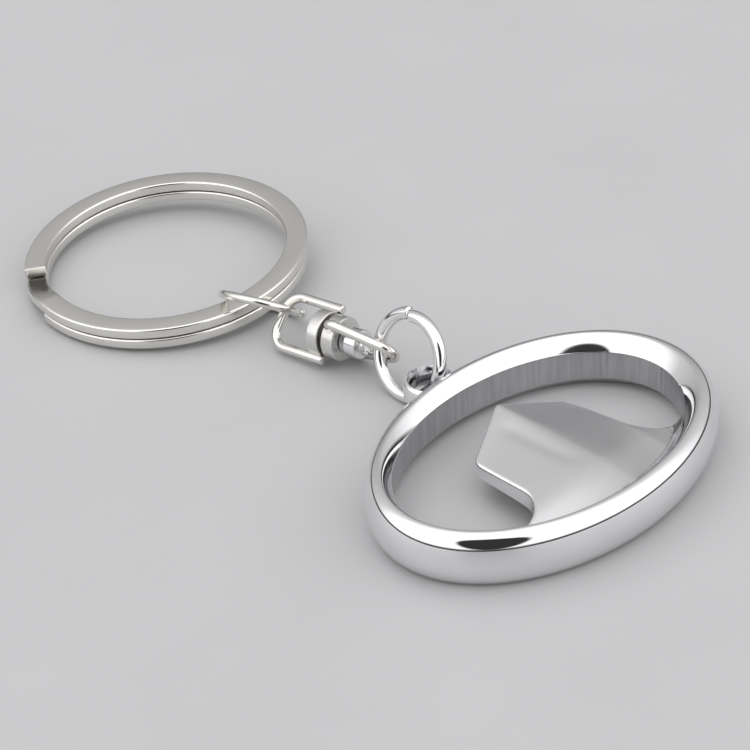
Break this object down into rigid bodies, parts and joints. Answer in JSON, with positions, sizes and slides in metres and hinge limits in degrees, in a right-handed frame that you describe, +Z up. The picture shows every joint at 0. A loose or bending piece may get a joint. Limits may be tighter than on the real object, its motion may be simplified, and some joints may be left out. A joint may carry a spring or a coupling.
{
  "type": "keychain bottle opener",
  "caption": "Keychain bottle opener: an oval rim with a ridged lifting tongue, chained by a jump ring, a barrel swivel and a small link to a flat-wire split ring.",
  "frame": {"origin": "where the rim rests on the table behind the tongue's root, at the middle of its flat underside", "axes": "+Z up from the table; the chain runs from the opener towards -X and +Y"},
  "size_m": [0.0682, 0.071, 0.0089],
  "materials": {
    "chrome_casting": "mirror polished",
    "chrome_jump_ring": "polished",
    "nickel_eye": "polished",
    "satin_eye_collar": "satin, turned",
    "steel_rivet": "polished",
    "satin_bail_collar": "satin, turned",
    "nickel_bail": "polished",
    "nickel_link": "polished",
    "nickel_split_ring": "satin on its flat faces"
  },
  "bodies": {
    "opener": {"opener": "chrome_casting"},
    "jump_ring": {"jump_ring": "chrome_jump_ring"},
    "swivel_eye": {"eye_wire": "nickel_eye", "eye_collar": "satin_eye_collar"},
    "swivel_bail": {"bail_wire": "nickel_bail", "bail_collar": "satin_bail_collar", "swivel_rivet": "steel_rivet"},
    "link": {"link_ring": "nickel_link"},
    "split_ring": {"split_ring": "nickel_split_ring"}
  },
  "joints": [
    {"name": "jump_ring_swing", "type": "hinge", "parent": "opener", "child": "jump_ring", "pos_m": [-0.0196, 0.02117, 0.0031], "axis": [-0.7081, -0.6231, 0.3321], "range_deg": [-10, 40]},
    {"name": "eye_swing", "type": "hinge", "parent": "jump_ring", "child": "swivel_eye", "pos_m": [-0.02272, 0.02599, 0.00348], "axis": [-0.5095, -0.6637, -0.5476], "range_deg": [-40, 40]},
    {"name": "swivel_turn", "type": "hinge", "parent": "swivel_eye", "child": "swivel_bail", "pos_m": [-0.02723, 0.02985, 0.0031], "axis": [0.7618, -0.6438, 0.0715], "continuous": true},
    {"name": "link_swing", "type": "hinge", "parent": "swivel_bail", "child": "link", "pos_m": [-0.03233, 0.03416, 0.00262], "axis": [0.4331, 0.5884, 0.6828], "range_deg": [-55, 55]},
    {"name": "split_ring_swing", "type": "hinge", "parent": "link", "child": "split_ring", "pos_m": [-0.03513, 0.03799, 0.00233], "axis": [0.7387, 0.6719, 0.054], "range_deg": [-5, 60]}
  ]
}
